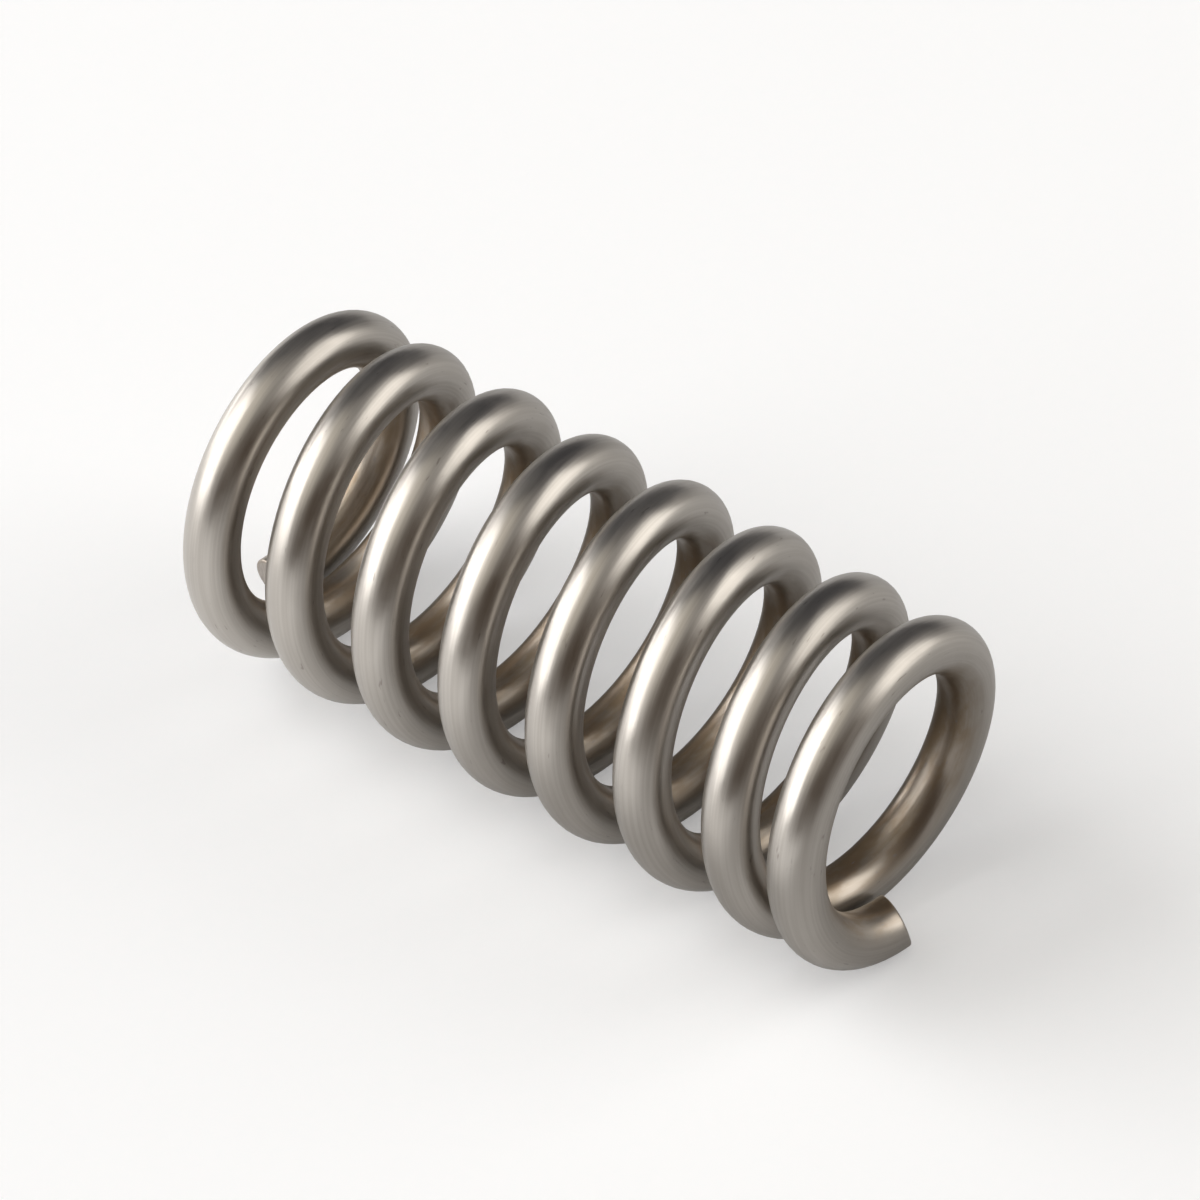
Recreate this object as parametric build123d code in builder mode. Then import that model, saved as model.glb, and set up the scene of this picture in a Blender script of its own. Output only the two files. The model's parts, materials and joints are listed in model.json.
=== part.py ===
from build123d import *

import os
from math import cos, pi, radians, sin

# A cold-wound compression spring: one length of round wire, wound right-handed, with
# closed ends that are left unground. It lies on its side, and every turn touches the
# ground. X runs along the coil axis, Z is up, and the origin is on the ground under the
# middle of the spring. Sizes are in millimetres, angles in degrees, pitches in
# millimetres for each turn.

# Driving dimensions
wire_diameter = 1.5
outer_diameter = 9.5
free_length = 22.1        # end to end, with nothing pressing on it
total_turns = 8.0
start_angle = 265.0       # where the wire starts round the axis, from +Y towards +Z

# Each end closes over its last turn. The gap is the clear space left between the tip of
# the wire and the turn beside it, and the tip pitch is how steeply the wire ends.
start_tip_gap = 0.24
start_tip_pitch = 2.75
finish_tip_gap = 0.24
finish_tip_pitch = 1.4

cut_edge_round = 0.12     # rounding of the edge where the wire was cut off
points_per_turn = 24      # points on the centre line of the wire

# Worked out from those
mean_radius = (outer_diameter - wire_diameter) / 2
axis_height = outer_diameter / 2
centre_length = free_length - wire_diameter
start_rise = wire_diameter + start_tip_gap
finish_rise = wire_diameter + finish_tip_gap
half_turn = 0.5
active_turns = total_turns - 4 * half_turn
active_pitch = (centre_length - start_rise - finish_rise) / active_turns


def seat_pitch(rise, tip_pitch):
    """The flattest pitch of an end, half a turn from its tip, for this rise in one turn."""
    return rise / half_turn - (tip_pitch + active_pitch) / 2


start_seat_pitch = seat_pitch(start_rise, start_tip_pitch)
finish_seat_pitch = seat_pitch(finish_rise, finish_tip_pitch)

# The wire in stretches: how many turns, the pitch it has first, and the pitch it has last
stretches = [
    (half_turn, start_tip_pitch, start_seat_pitch),
    (half_turn, start_seat_pitch, active_pitch),
    (active_turns, active_pitch, active_pitch),
    (half_turn, active_pitch, finish_seat_pitch),
    (half_turn, finish_seat_pitch, finish_tip_pitch),
]


def climb(turn):
    """How far the wire has gone along the axis after this many turns."""
    along = 0.0
    for turns, first, last in stretches:
        done = min(max(turn, 0.0), turns)
        ease = turns * sin(pi * done / turns) / pi
        along += (first + last) / 2 * done + (first - last) / 2 * ease
        turn -= turns
    return along


def wire_point(turn):
    """A point on the centre line of the wire."""
    angle = radians(start_angle + 360 * turn)
    along = climb(turn) - centre_length / 2
    return Vector(along, mean_radius * cos(angle), axis_height + mean_radius * sin(angle))


steps = round(total_turns * points_per_turn)
wire_points = [wire_point(total_turns * step / steps) for step in range(steps + 1)]

with BuildPart() as coil_spring:
    with BuildLine() as centre_line:
        Spline(*wire_points)
    wire = centre_line.wire()
    with BuildSketch(Plane(origin=wire @ 0, z_dir=wire % 0)):
        Circle(wire_diameter / 2)
    sweep(path=wire, is_frenet=True)
    cut_faces = coil_spring.faces().filter_by(GeomType.PLANE)
    fillet(cut_faces.edges(), radius=cut_edge_round)
coil_spring.part.label = "coil_spring"

os.makedirs("parts", exist_ok=True)
export_step(coil_spring.part, "parts/coil_spring.step")

section = pi * wire_diameter ** 2 / 4
box = coil_spring.part.bounding_box()
print("active pitch", round(active_pitch, 3), "wire length", round(wire.length, 2))
print("volume", round(coil_spring.part.volume, 3), "section times length", round(section * wire.length, 3))
print("box from", box.min, "to", box.max)
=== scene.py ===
# %% [markdown]
# # A compression spring in drawn steel wire
#
# The spring is one length of round wire, wound right-handed into eight turns. The two end
# turns close up against their neighbours and are left unground. This lesson makes it as a
# spring maker does: a straight length of wire is drawn and cut, and then it is wound.
#
# The measured model comes first. It gives the place and the size of the finished spring,
# and everything here is in its frame: metres, X along the coil axis, Z up, ground at zero.

# %% Load the measured spring
import json
from math import cos, pi, radians, sin, tan

import bpy
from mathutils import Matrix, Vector


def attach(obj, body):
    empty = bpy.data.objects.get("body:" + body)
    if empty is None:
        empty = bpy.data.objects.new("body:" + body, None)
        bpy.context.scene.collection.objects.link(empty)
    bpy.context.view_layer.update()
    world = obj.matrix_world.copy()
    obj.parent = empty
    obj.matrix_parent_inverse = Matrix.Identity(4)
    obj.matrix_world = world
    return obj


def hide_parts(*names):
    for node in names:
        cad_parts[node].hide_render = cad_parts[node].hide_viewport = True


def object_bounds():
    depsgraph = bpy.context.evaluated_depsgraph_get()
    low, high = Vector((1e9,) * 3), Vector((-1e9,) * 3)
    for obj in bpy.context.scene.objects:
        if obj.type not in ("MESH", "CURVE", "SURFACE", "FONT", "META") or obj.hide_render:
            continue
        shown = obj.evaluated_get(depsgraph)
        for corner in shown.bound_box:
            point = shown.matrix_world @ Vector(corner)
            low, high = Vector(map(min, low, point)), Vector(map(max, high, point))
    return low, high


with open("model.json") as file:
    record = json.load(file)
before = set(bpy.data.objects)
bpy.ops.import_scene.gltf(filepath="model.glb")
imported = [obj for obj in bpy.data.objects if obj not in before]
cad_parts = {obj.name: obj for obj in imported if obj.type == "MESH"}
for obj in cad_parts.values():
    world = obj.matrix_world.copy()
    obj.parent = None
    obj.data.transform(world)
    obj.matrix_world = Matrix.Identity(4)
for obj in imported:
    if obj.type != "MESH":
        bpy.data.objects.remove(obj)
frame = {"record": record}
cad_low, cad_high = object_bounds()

MM = 0.001
print("measured box in mm:", [round(v / MM, 2) for v in (*cad_low, *cad_high)])

# %% [markdown]
# ## The sizes
#
# A coil is described by its outside, its bore and its wire. The outside is the height of
# the measured box, the bore is written in the part's record, and the wire fills the space
# between them. The pitch is the distance along the axis from one turn to the next. It is
# even in the middle, and drops over the last turn at each end, where the coil closes.

# %% Sizes from the frame
bore = next(m for m in frame["record"]["mounts"] if m["name"] == "guide_bore")
outer_radius = (cad_high.z - cad_low.z) / 2
bore_radius = bore["dims"]["r_mm"] * MM
wire_radius = (outer_radius - bore_radius) / 2
mean_radius = (outer_radius + bore_radius) / 2
axis_height = outer_radius
print(f"wire {2 * wire_radius / MM:.2f} mm, coil {2 * outer_radius / MM:.2f} mm outside")

# %% How the pitch runs
total_turns = 8.0
start_angle = 265.0
free_length = 22.1 * MM
start_gap, start_tip_pitch = 0.24 * MM, 2.75 * MM
finish_gap, finish_tip_pitch = 0.24 * MM, 1.4 * MM

half_turn = 0.5
centre_length = free_length - 2 * wire_radius
start_rise = 2 * wire_radius + start_gap
finish_rise = 2 * wire_radius + finish_gap
active_turns = total_turns - 4 * half_turn
active_pitch = (centre_length - start_rise - finish_rise) / active_turns
start_seat_pitch = start_rise / half_turn - (start_tip_pitch + active_pitch) / 2
finish_seat_pitch = finish_rise / half_turn - (finish_tip_pitch + active_pitch) / 2
stretches = [
    (half_turn, start_tip_pitch, start_seat_pitch),
    (half_turn, start_seat_pitch, active_pitch),
    (active_turns, active_pitch, active_pitch),
    (half_turn, active_pitch, finish_seat_pitch),
    (half_turn, finish_seat_pitch, finish_tip_pitch),
]
print(f"pitch {active_pitch / MM:.2f} mm over {active_turns:.0f} turns")


# %% A point on the middle of the wire
def climb(turn):
    """How far the wire has gone along the axis after this many turns."""
    if turn < 0:
        return start_tip_pitch * turn
    if turn > total_turns:
        return centre_length + finish_tip_pitch * (turn - total_turns)
    along = 0.0
    for turns, first, last in stretches:
        done = min(max(turn, 0.0), turns)
        ease = turns * sin(pi * done / turns) / pi
        along += (first + last) / 2 * done + (first - last) / 2 * ease
        turn -= turns
    return along


def wire_point(turn):
    """Where the middle of the wire is after this many turns."""
    angle = radians(start_angle + 360 * turn)
    along = climb(turn) - centre_length / 2
    return Vector((along, mean_radius * cos(angle), axis_height + mean_radius * sin(angle)))


# %% [markdown]
# ## The winding path
#
# A curve stands for the path that the wire is led along. Its points come from the pitch,
# and they are close together, so that straight steps between them are as good as an arc.
# It runs on a little past both ends, to leave wire for the shears to cut off.

# %% Make the winding path
steps_per_turn = 120
spare_steps = 6
path_steps = int(total_turns * steps_per_turn)
path_turns = [i / steps_per_turn for i in range(-spare_steps, path_steps + spare_steps + 1)]
path_points = [wire_point(turn) for turn in path_turns]
step_lengths = [(b - a).length for a, b in zip(path_points, path_points[1:])]
spare_start = sum(step_lengths[:spare_steps])
spare_finish = sum(step_lengths[-spare_steps:])
path_length = sum(step_lengths)

path_data = bpy.data.curves.new("winding_path", "CURVE")
path_data.dimensions = "3D"
path_data.twist_mode = "MINIMUM"
path_spline = path_data.splines.new("POLY")
path_spline.points.add(len(path_points) - 1)
for point, place in zip(path_spline.points, path_points):
    point.co = (*place, 1)
winding_path = bpy.data.objects.new("winding_path", path_data)
bpy.context.scene.collection.objects.link(winding_path)
print(f"the spring takes {(path_length - spare_start - spare_finish) / MM:.1f} mm of wire")


# %% [markdown]
# ## Which way the wire faces
#
# The shears leave each end a little oblique, so it matters which side of the straight
# wire becomes the top of the tip. Winding turns the wire as it goes. A few loose points
# are wound first, and they tell which way is which at each end.


# %% Wind a few points to find out
def add_winding(piece):
    """The modifier that leads a piece along the winding path."""
    wind = piece.modifiers.new("wind", "CURVE")
    wind.object = winding_path
    wind.deform_axis = "POS_X"
    return wind


def wound(places):
    """Where these places in the straight wire go when it is wound."""
    data = bpy.data.meshes.new("loose_points")
    data.from_pydata(places, [], [])
    loose = bpy.data.objects.new("loose_points", data)
    bpy.context.scene.collection.objects.link(loose)
    add_winding(loose)
    found = loose.evaluated_get(bpy.context.evaluated_depsgraph_get())
    result = [v.co.copy() for v in found.data.vertices]
    bpy.data.objects.remove(loose)
    return result


def cut_facing(x, outward, tilt, lean):
    """The way a cut faces, in the straight wire. It is tilted towards lean, in the spring."""
    middle, side_y, side_z = wound([(x, 0, 0), (x, wire_radius, 0), (x, 0, wire_radius)])
    way = Vector(lean).normalized()
    across_y = way.dot((side_y - middle).normalized())
    across_z = way.dot((side_z - middle).normalized())
    return Vector((outward * cos(tilt), sin(tilt) * across_y, sin(tilt) * across_z))


start_spot = Vector((spare_start + 0.15 * MM, 0, 0))
finish_spot = Vector((path_length - spare_finish + 0.185 * MM, 0, 0))
start_facing = cut_facing(start_spot.x, -1, radians(15), (-0.26, 0, -0.97))
finish_facing = cut_facing(finish_spot.x, 1, radians(33), (1, 0, 1))
print("the cuts face", [round(v, 2) for v in (*start_facing, *finish_facing)])

# %% [markdown]
# ## The straight wire
#
# The wire starts as a cylinder with many sides. Two slanting cuts take off the spare
# ends, as the shears do. Two upright cuts close behind them keep the slant in the tips.


# %% Helpers for selecting
def start_edit(piece, kind):
    """Get ready to select edges or faces of one object, with nothing in it selected."""
    bpy.ops.object.select_all(action="DESELECT")
    bpy.context.view_layer.objects.active = piece
    piece.select_set(True)
    bpy.ops.object.mode_set(mode="EDIT")
    bpy.ops.mesh.select_mode(type=kind)
    bpy.ops.mesh.select_all(action="DESELECT")
    bpy.ops.object.mode_set(mode="OBJECT")


def select_edges(piece, wanted):
    """Select the edges that wanted() says yes to, given their two ends."""
    start_edit(piece, "EDGE")
    points = piece.data.vertices
    chosen = [e for e in piece.data.edges if wanted(*(points[i].co for i in e.vertices))]
    for edge in chosen:
        edge.select = True
    bpy.ops.object.mode_set(mode="EDIT")
    return len(chosen)


def select_faces(piece, wanted):
    """Select the faces that wanted() says yes to."""
    start_edit(piece, "FACE")
    chosen = [f for f in piece.data.polygons if wanted(f)]
    for face in chosen:
        face.select = True
    bpy.ops.object.mode_set(mode="EDIT")
    return len(chosen)


# %% Add the wire and cut it
sides = 56
tip_stub = 1.4 * MM

bpy.ops.object.select_all(action="DESELECT")
bpy.ops.mesh.primitive_cylinder_add(
    vertices=sides, radius=wire_radius, depth=path_length,
    location=(path_length / 2, 0, 0), rotation=(0, pi / 2, 0))
spring = bpy.context.object
spring.name = "spring_coil"
bpy.ops.object.transform_apply(location=True, rotation=True, scale=False)


def cut_wire(spot, facing, take_off):
    """Cut right through the wire, and take off what the cut faces if asked to."""
    select_faces(spring, lambda face: True)
    bpy.ops.mesh.bisect(plane_co=spot, plane_no=facing, clear_outer=take_off, use_fill=take_off)
    bpy.ops.object.mode_set(mode="OBJECT")


along_wire = Vector((1, 0, 0))
cut_wire(start_spot, start_facing, True)
cut_wire(finish_spot, finish_facing, True)
cut_wire(start_spot + along_wire * tip_stub, along_wire, False)
cut_wire(finish_spot - along_wire * tip_stub, along_wire, False)
print("cut wire:", len(spring.data.polygons), "faces")

# %% [markdown]
# ## The cut edges
#
# The blade pulls the skin of the wire over the rim where it goes in. A small bevel does
# that. Insets then ring the cut face, so that it can carry the drag lines of the blade.

# %% Round the rims
edge_round = 0.085 * MM
near = 0.002 * MM


def on_a_cut(point):
    """True for a point that lies in one of the two slanting cuts."""
    from_start = abs((point - start_spot).dot(start_facing))
    from_finish = abs((point - finish_spot).dot(finish_facing))
    return min(from_start, from_finish) < near


rims = select_edges(spring, lambda a, b: on_a_cut(a) and on_a_cut(b))
bpy.ops.mesh.bevel(offset=edge_round, segments=5, profile=0.5, affect="EDGES")
bpy.ops.object.mode_set(mode="OBJECT")
print("rim edges rounded:", rims)

# %% Ring the cut faces
ring_width = 0.1 * MM
ring_count = 4
cut_count = select_faces(spring, lambda face: on_a_cut(face.center) and len(face.vertices) > 4)
for ring in range(ring_count):
    bpy.ops.mesh.inset(thickness=ring_width, use_individual=True)
bpy.ops.mesh.poke()
bpy.ops.object.mode_set(mode="OBJECT")
print("cut faces ringed:", cut_count)

# %% [markdown]
# ## Divide it so that it can bend
#
# Winding bends a mesh only where it has points. The tips are divided first, and then the
# long part in two rounds, because one round allows at most a hundred cuts.


# %% Divide along the length
def divide(shortest, longest, cuts):
    """Divide the edges that run along the wire and have a length in this range."""
    def wanted(a, b):
        run = abs(a.x - b.x)
        aside = Vector((0, a.y - b.y, a.z - b.z)).length
        return shortest < run < longest and run > 10 * aside
    count = select_edges(spring, wanted)
    bpy.ops.mesh.subdivide(number_cuts=cuts)
    bpy.ops.object.mode_set(mode="OBJECT")
    return count


divide(0.4 * MM, 4 * MM, 5)
divide(100 * MM, 300 * MM, 24)
divide(4 * MM, 20 * MM, 26)
print("divided wire:", len(spring.data.polygons), "faces")

# %% [markdown]
# ## Remember the straight wire
#
# The drawing die leaves its lines along the wire, and they go round with it when it is
# wound. So each point keeps where it was in the straight wire, as an attribute that the
# material can read. It has no seam, as an unwrapping would have.

# %% Keep each point's place in the straight wire
place = spring.data.attributes.new("wire_place", "FLOAT_VECTOR", "POINT")
place.data.foreach_set("vector", [c for v in spring.data.vertices for c in v.co])
cut_mark = spring.data.attributes.new("cut_mark", "FLOAT", "POINT")
cut_mark.data.foreach_set("value", [1.0 if on_a_cut(v.co) else 0.0 for v in spring.data.vertices])
print("points that keep their place:", len(spring.data.vertices))

# %% [markdown]
# ## Winding
#
# The Curve modifier carries the mesh along the path, as the coiling machine does. It keeps
# the section round and turns it as little as it can.

# %% Wind the wire
add_winding(spring)
bpy.ops.object.select_all(action="DESELECT")
bpy.context.view_layer.objects.active = spring
spring.select_set(True)
bpy.ops.object.modifier_apply(modifier="wind")
bpy.data.objects.remove(winding_path)
bpy.ops.object.shade_smooth_by_angle(angle=radians(40))
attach(spring, "root")
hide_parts("coil_spring")
ends = [v.co.x for v in spring.data.vertices]
print(f"wound from x {min(ends) / MM:.3f} to {max(ends) / MM:.3f} mm")

# %% [markdown]
# ## Drawn steel
#
# Spring wire is pulled through a die, so its skin is satin, with faint lines that run
# along it. A group makes those lines and a slow unevenness, from the place in the
# straight wire. A second group tells the outside of the coil from the inside. The
# coiling tools burnish the outside a little. The inside is painted a patchy darker
# brown, which is painted shade in the bore of the coil.


# %% Helpers for nodes
def add_node(tree, kind, **settings):
    node = tree.nodes.new(kind)
    for name, value in settings.items():
        setattr(node, name, value)
    return node


def new_group(name, inputs, outputs):
    """A shader node group with named sockets."""
    tree = bpy.data.node_groups.new(name, "ShaderNodeTree")
    for label, kind in inputs:
        tree.interface.new_socket(label, in_out="INPUT", socket_type=kind)
    for label, kind in outputs:
        tree.interface.new_socket(label, in_out="OUTPUT", socket_type=kind)
    return tree, tree.nodes.new("NodeGroupInput"), tree.nodes.new("NodeGroupOutput")


def stretched_noise(tree, place, length, width, detail):
    """Noise that is long along the wire and narrow across it."""
    scale = add_node(tree, "ShaderNodeVectorMath", operation="MULTIPLY")
    scale.inputs[1].default_value = (1 / length, 1 / width, 1 / width)
    noise = add_node(tree, "ShaderNodeTexNoise")
    noise.inputs["Scale"].default_value = 1.0
    noise.inputs["Detail"].default_value = detail
    tree.links.new(place, scale.inputs[0])
    tree.links.new(scale.outputs[0], noise.inputs["Vector"])
    return noise.outputs["Fac"]


def spread(tree, value, low, high, to_low=0.0, to_high=1.0):
    """A value moved from one range into another, and kept inside it."""
    node = add_node(tree, "ShaderNodeMapRange", interpolation_type="SMOOTHSTEP")
    node.inputs["From Min"].default_value = low
    node.inputs["From Max"].default_value = high
    node.inputs["To Min"].default_value = to_low
    node.inputs["To Max"].default_value = to_high
    tree.links.new(value, node.inputs["Value"])
    return node.outputs["Result"]


# %% A group for what the die leaves
die_group, g_in, g_out = new_group(
    "die_marks",
    [("Place", "NodeSocketVector")],
    [("Lines", "NodeSocketFloat"), ("Uneven", "NodeSocketFloat"), ("Nicks", "NodeSocketFloat")])
lines = stretched_noise(die_group, g_in.outputs["Place"], 5.0 * MM, 0.07 * MM, 3.0)
uneven = stretched_noise(die_group, g_in.outputs["Place"], 1.6 * MM, 0.5 * MM, 5.0)
nicks = stretched_noise(die_group, g_in.outputs["Place"], 0.5 * MM, 0.12 * MM, 2.0)
die_group.links.new(spread(die_group, lines, 0.3, 0.7), g_out.inputs["Lines"])
die_group.links.new(spread(die_group, uneven, 0.3, 0.7), g_out.inputs["Uneven"])
die_group.links.new(spread(die_group, nicks, 0.68, 0.78), g_out.inputs["Nicks"])
print("group:", die_group.name)

# %% A group for the inside of the coil
side_group, g_in, g_out = new_group(
    "coil_side",
    [("Position", "NodeSocketVector")],
    [("Inside", "NodeSocketFloat"), ("Outside", "NodeSocketFloat")])
from_axis = add_node(side_group, "ShaderNodeVectorMath", operation="SUBTRACT")
from_axis.inputs[1].default_value = (0, 0, axis_height)
flat = add_node(side_group, "ShaderNodeVectorMath", operation="MULTIPLY")
flat.inputs[1].default_value = (0, 1, 1)
radius = add_node(side_group, "ShaderNodeVectorMath", operation="LENGTH")
side_group.links.new(g_in.outputs["Position"], from_axis.inputs[0])
side_group.links.new(from_axis.outputs[0], flat.inputs[0])
side_group.links.new(flat.outputs[0], radius.inputs[0])
inside = spread(side_group, radius.outputs["Value"], bore_radius, mean_radius, 1.0, 0.0)
outside = spread(side_group, radius.outputs["Value"], mean_radius + wire_radius * 0.6, outer_radius)
side_group.links.new(inside, g_out.inputs["Inside"])
side_group.links.new(outside, g_out.inputs["Outside"])
print("group:", side_group.name)


# %% Helpers for mixing
def mix_colour(tree, factor, first, second):
    """A colour between two. Each is a colour or an output."""
    node = add_node(tree, "ShaderNodeMix", data_type="RGBA")
    tree.links.new(factor, node.inputs["Factor"])
    for socket, colour in ((node.inputs["A"], first), (node.inputs["B"], second)):
        if isinstance(colour, tuple):
            socket.default_value = (*colour, 1)
        else:
            tree.links.new(colour, socket)
    return node.outputs["Result"]


def combine(tree, operation, first, second):
    """Arithmetic on two values. Each is a number or an output."""
    node = add_node(tree, "ShaderNodeMath", operation=operation)
    for socket, value in zip(node.inputs, (first, second)):
        if isinstance(value, (int, float)):
            socket.default_value = value
        else:
            tree.links.new(value, socket)
    return node.outputs["Value"]


# %% [markdown]
# ## Two steels
#
# The skin and the cut share one recipe with different colours. Steel is dark enough that
# it takes its look from what is round it, so its own colour is a warm middle grey.

# %% The drawn skin
skin_grey = (0.415, 0.386, 0.352)
skin_light = (0.465, 0.437, 0.402)
# The darker brown used on the inside of the coil is painted shade.
bore_painted_shade = (0.27, 0.205, 0.14)
nick_grey = (0.31, 0.28, 0.255)

steel = bpy.data.materials.new("drawn_steel")
steel.use_nodes = True
tree = steel.node_tree
skin = tree.nodes["Principled BSDF"]
skin.inputs["Metallic"].default_value = 1.0
at_wire = add_node(tree, "ShaderNodeAttribute", attribute_name="wire_place")
at_spring = add_node(tree, "ShaderNodeTexCoord")
marks = add_node(tree, "ShaderNodeGroup", node_tree=die_group)
side = add_node(tree, "ShaderNodeGroup", node_tree=side_group)
tree.links.new(at_wire.outputs["Vector"], marks.inputs["Place"])
tree.links.new(at_spring.outputs["Object"], side.inputs["Position"])

lined = mix_colour(tree, marks.outputs["Lines"], skin_grey, skin_light)
patchy = spread(tree, marks.outputs["Uneven"], 0, 1, 0.45, 0.95)
# The inside of the coil is darkened to brown in patches: painted shade in the bore.
painted_shade_share = combine(tree, "MULTIPLY", side.outputs["Inside"], patchy)
painted_shaded_skin = mix_colour(tree, painted_shade_share, lined, bore_painted_shade)
nicked = mix_colour(tree, marks.outputs["Nicks"], painted_shaded_skin, nick_grey)
tree.links.new(nicked, skin.inputs["Base Color"])

satin = spread(tree, marks.outputs["Uneven"], 0, 1, 0.31, 0.40)
burnished = combine(tree, "SUBTRACT", satin, combine(tree, "MULTIPLY", side.outputs["Outside"], 0.03))
tree.links.new(burnished, skin.inputs["Roughness"])

relief = combine(tree, "SUBTRACT", marks.outputs["Lines"], marks.outputs["Nicks"])
bump = add_node(tree, "ShaderNodeBump")
bump.inputs["Strength"].default_value = 0.35
bump.inputs["Distance"].default_value = 0.0016 * MM
tree.links.new(relief, bump.inputs["Height"])
tree.links.new(bump.outputs["Normal"], skin.inputs["Normal"])
print("material:", steel.name)

# %% The sheared faces
cut_grey = (0.36, 0.32, 0.285)
cut_light = (0.50, 0.46, 0.42)

sheared = bpy.data.materials.new("sheared_steel")
sheared.use_nodes = True
tree = sheared.node_tree
face = tree.nodes["Principled BSDF"]
face.inputs["Metallic"].default_value = 1.0
at_wire = add_node(tree, "ShaderNodeAttribute", attribute_name="wire_place")
drag = add_node(tree, "ShaderNodeVectorMath", operation="MULTIPLY")
drag.inputs[1].default_value = (1 / (0.4 * MM), 1 / (0.05 * MM), 1 / (0.4 * MM))
drag_noise = add_node(tree, "ShaderNodeTexNoise")
drag_noise.inputs["Scale"].default_value = 1.0
drag_noise.inputs["Detail"].default_value = 4.0
tree.links.new(at_wire.outputs["Vector"], drag.inputs[0])
tree.links.new(drag.outputs[0], drag_noise.inputs["Vector"])
dragged = spread(tree, drag_noise.outputs["Fac"], 0.3, 0.7)
tree.links.new(mix_colour(tree, dragged, cut_grey, cut_light), face.inputs["Base Color"])
tree.links.new(spread(tree, dragged, 0, 1, 0.42, 0.58), face.inputs["Roughness"])
bump = add_node(tree, "ShaderNodeBump")
bump.inputs["Strength"].default_value = 0.6
bump.inputs["Distance"].default_value = 0.01 * MM
tree.links.new(dragged, bump.inputs["Height"])
tree.links.new(bump.outputs["Normal"], face.inputs["Normal"])
print("material:", sheared.name)

# %% Put the steels on
spring.data.materials.clear()
spring.data.materials.append(steel)
spring.data.materials.append(sheared)
marked = [value.value > 0.5 for value in spring.data.attributes["cut_mark"].data]
for polygon in spring.data.polygons:
    polygon.material_index = int(all(marked[i] for i in polygon.vertices))
print("sheared faces:", sum(p.material_index for p in spring.data.polygons))

# %% [markdown]
# ## The paper
#
# The spring lies on white paper with a faint grain. To the camera the paper gets a little
# light of its own, which keeps the shadows soft. To the steel's reflections it is given a
# darker shade, and a glow on the window's side. That is a trick of this picture: real
# paper would look the same to both, and the steel would mirror it lighter underneath.

# %% Floor
paper_radius = 1.5
paper_white = (0.70, 0.706, 0.722)
paper_lift = 0.30
mirrored_dim = 0.91
mirrored_glow = 0.52
window_side = (-0.6, -0.8, 0)

bpy.ops.object.select_all(action="DESELECT")
bpy.ops.mesh.primitive_circle_add(vertices=128, radius=paper_radius, fill_type="NGON", location=(0, 0, 0))
floor = bpy.context.object
floor.name = "floor"
paper = bpy.data.materials.new("white_paper")
paper.use_nodes = True
tree = paper.node_tree
sheet = tree.nodes["Principled BSDF"]
sheet.inputs["Roughness"].default_value = 0.9
sheet.inputs["Specular IOR Level"].default_value = 0.1
sheet.inputs["Emission Color"].default_value = (1, 1, 1, 1)
at_paper = add_node(tree, "ShaderNodeTexCoord")
fibres = add_node(tree, "ShaderNodeTexNoise")
fibres.inputs["Scale"].default_value = 1 / (0.35 * MM)
fibres.inputs["Detail"].default_value = 5.0
tree.links.new(at_paper.outputs["Object"], fibres.inputs["Vector"])
grain = spread(tree, fibres.outputs["Fac"], 0.25, 0.75)
seen = add_node(tree, "ShaderNodeLightPath")
grained = mix_colour(tree, grain, tuple(c * 0.985 for c in paper_white), paper_white)
dimmed = tuple(c * mirrored_dim for c in paper_white)
tree.links.new(mix_colour(tree, seen.outputs["Is Glossy Ray"], grained, dimmed), sheet.inputs["Base Color"])
bump = add_node(tree, "ShaderNodeBump")
bump.inputs["Strength"].default_value = 0.25
bump.inputs["Distance"].default_value = 0.02 * MM
tree.links.new(fibres.outputs["Fac"], bump.inputs["Height"])
tree.links.new(bump.outputs["Normal"], sheet.inputs["Normal"])
to_window = add_node(tree, "ShaderNodeVectorMath", operation="DOT_PRODUCT")
to_window.inputs[1].default_value = window_side
tree.links.new(at_paper.outputs["Object"], to_window.inputs[0])
glow = spread(tree, to_window.outputs["Value"], 2 * MM, 13 * MM, 0.0, mirrored_glow)
lift = combine(tree, "MULTIPLY", seen.outputs["Is Camera Ray"], paper_lift)
mirrored = combine(tree, "MULTIPLY", seen.outputs["Is Glossy Ray"], glow)
tree.links.new(combine(tree, "ADD", lift, mirrored), sheet.inputs["Emission Strength"])
floor.data.materials.append(paper)
print("paper:", paper_radius * 2, "m across")

# %% [markdown]
# ## Light
#
# Satin steel shows soft pictures of the room. Two windows give the white streaks, and the
# low end of the near one gives each turn a light edge. Between them the room is dim.
# Directions are named by azimuth, from the front towards the right, and by height above
# the ground. Only reflections and stray light see the room, and the camera sees white.


# %% Windows
def direction(azimuth, elevation):
    """The way from the spring to something at this azimuth and elevation, in degrees."""
    a, e = radians(azimuth), radians(elevation)
    return Vector((sin(a) * cos(e), -cos(a) * cos(e), sin(e)))


def soft_lamp(name, azimuth, elevation, width, height, lean, radiance, colour):
    """A soft lamp that faces the spring, with angles for its width and height."""
    distance = 0.5
    way = direction(azimuth, elevation)
    data = bpy.data.lights.new(name, "AREA")
    data.shape = "RECTANGLE"
    data.size = 2 * distance * tan(radians(width / 2))
    data.size_y = 2 * distance * tan(radians(height / 2))
    data.energy = pi * data.size * data.size_y * radiance
    data.color = colour
    lamp = bpy.data.objects.new(name, data)
    lamp.location = Vector((0, 0, axis_height)) + way * distance
    lamp.rotation_euler = way.to_track_quat("Z", "Y").to_euler()
    lamp.rotation_euler.rotate_axis("Z", radians(lean))
    lamp.visible_camera = False
    bpy.context.scene.collection.objects.link(lamp)
    return lamp


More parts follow.
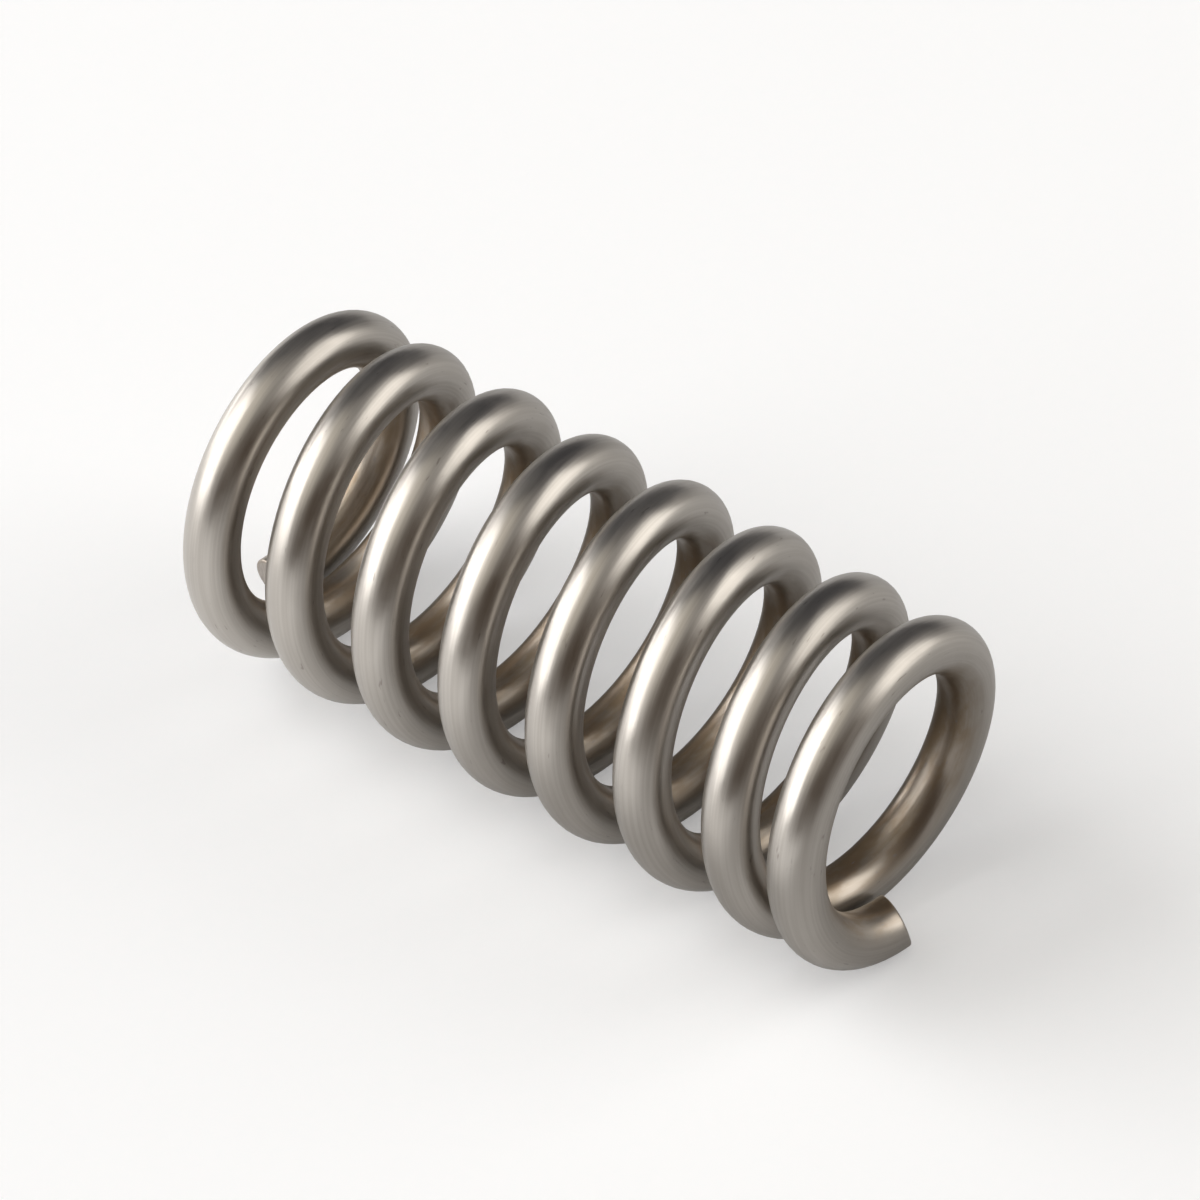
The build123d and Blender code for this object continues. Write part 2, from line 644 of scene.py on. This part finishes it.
window = soft_lamp("window", -53, 27, 54, 63, 38, 2.9, (1.0, 1.0, 1.0))
far_window = soft_lamp("far_window", 137, 28, 42, 44, 0, 1.9, (1.0, 0.98, 0.94))
low_window = soft_lamp("low_window", -92, 5.5, 28, 10, 0, 4.5, (1.0, 1.0, 1.0))
print("window lamps:", round(window.data.energy, 2), round(far_window.data.energy, 2), "W")

# %% The room
room_grey = (0.46, 0.445, 0.425)
patches = [
    ("dark_corner", -148, 32, 18, 60, (0.08, 0.08, 0.088)),
    ("brown_cupboard", 62, 4, 38, 64, (0.092, 0.066, 0.047)),
    ("ceiling_glow", -28, 62, 12, 42, (1.00, 0.95, 0.85)),
]

world = bpy.data.worlds.new("room")
bpy.context.scene.world = world
world.use_nodes = True
tree = world.node_tree
background = tree.nodes["Background"]
look = add_node(tree, "ShaderNodeTexCoord")
ahead = add_node(tree, "ShaderNodeVectorMath", operation="NORMALIZE")
tree.links.new(look.outputs["Generated"], ahead.inputs[0])
seen = add_node(tree, "ShaderNodeLightPath")
room = room_grey
for name, azimuth, elevation, inner, outer, colour in patches:
    towards = add_node(tree, "ShaderNodeVectorMath", operation="DOT_PRODUCT", name=name)
    towards.inputs[1].default_value = direction(azimuth, elevation)
    tree.links.new(ahead.outputs[0], towards.inputs[0])
    share = spread(tree, towards.outputs["Value"], cos(radians(outer)), cos(radians(inner)))
    room = mix_colour(tree, share, room, colour)
seen_room = mix_colour(tree, seen.outputs["Is Camera Ray"], room, (1.0, 1.0, 1.0))
tree.links.new(seen_room, background.inputs["Color"])
print("room patches:", len(patches))

# %% [markdown]
# ## The camera
#
# The camera looks from the right and well above the spring. It stands far enough away for
# the turns at both ends to look nearly the same size, so its lens is a long one. The lens
# follows from how much of the ground the picture takes in at that distance.

# %% Aim the camera
camera_azimuth = 38.46
camera_elevation = 42.08
camera_distance = 352 * MM
picture_width = 30.872 * MM
shown_right = 0.369 * MM
shown_up = 0.802 * MM

towards_camera = direction(camera_azimuth, camera_elevation)
facing = towards_camera.to_track_quat("Z", "Y")
picture_right = facing @ Vector((1, 0, 0))
picture_up = facing @ Vector((0, 1, 0))

camera_data = bpy.data.cameras.new("camera")
camera_data.sensor_width = 36
camera_data.lens = camera_data.sensor_width * camera_distance / picture_width
camera_data.clip_start = 0.01
camera_data.clip_end = 10
camera = bpy.data.objects.new("camera", camera_data)
spring_middle = Vector((0, 0, axis_height))
aim = spring_middle + picture_right * shown_right + picture_up * shown_up
camera.location = aim + towards_camera * camera_distance
camera.rotation_euler = facing.to_euler()
bpy.context.scene.collection.objects.link(camera)
bpy.context.scene.camera = camera
bpy.context.scene.view_settings.view_transform = "Standard"
print(f"camera lens {camera_data.lens:.0f} mm")
